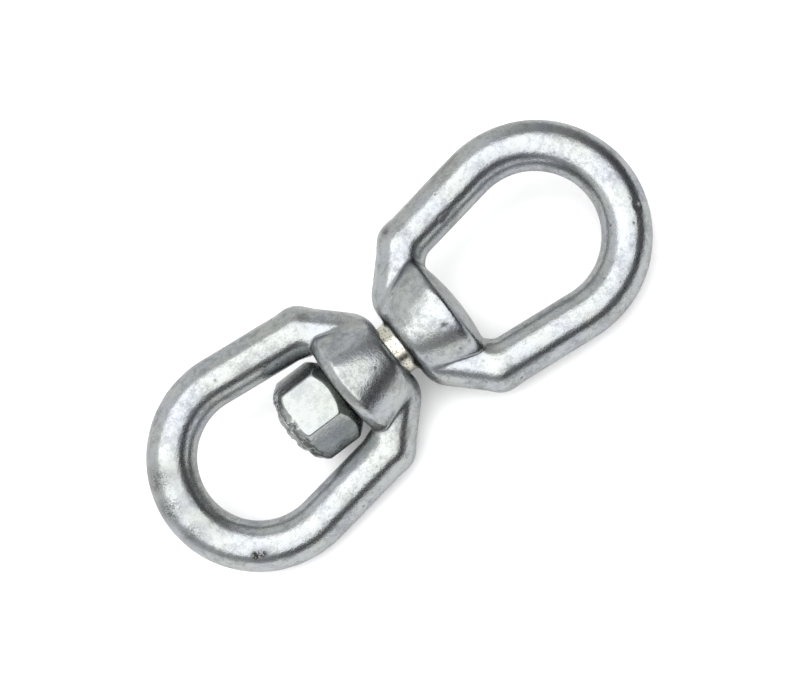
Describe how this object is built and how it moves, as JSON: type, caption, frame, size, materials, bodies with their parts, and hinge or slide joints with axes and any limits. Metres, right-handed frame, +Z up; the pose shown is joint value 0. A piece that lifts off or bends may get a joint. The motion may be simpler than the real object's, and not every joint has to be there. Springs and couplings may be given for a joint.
{
  "type": "anchor swivel",
  "caption": "Forged galvanised eye-and-eye swivel: two bow eyes end to end that turn on one shank, held by a tall hexagon nut peened over.",
  "frame": {"origin": "on the surface the swivel lies on, under the middle of the gap between the two bosses", "axes": "+X along the swivel axis from the bored eye and nut to the shank eye; +Z up, out of the surface the swivel lies on"},
  "size_m": [0.1462, 0.0546, 0.0309],
  "materials": {
    "galvanised_forging": "hot-dip galvanised forging, mottled grey zinc with small pits and rubbed high spots",
    "galvanised_nut": "galvanised hexagon nut, smoother flats, rough at the peened end"
  },
  "bodies": {
    "bored_eye_body": {"bored_eye": "galvanised_forging"},
    "shank_eye_body": {"shank_eye": "galvanised_forging", "lock_nut": "galvanised_nut"}
  },
  "joints": [
    {"name": "swivel", "type": "hinge", "parent": "bored_eye_body", "child": "shank_eye_body", "pos_m": [0, 0, 0.01545], "axis": [1, 0, 0], "continuous": true}
  ]
}
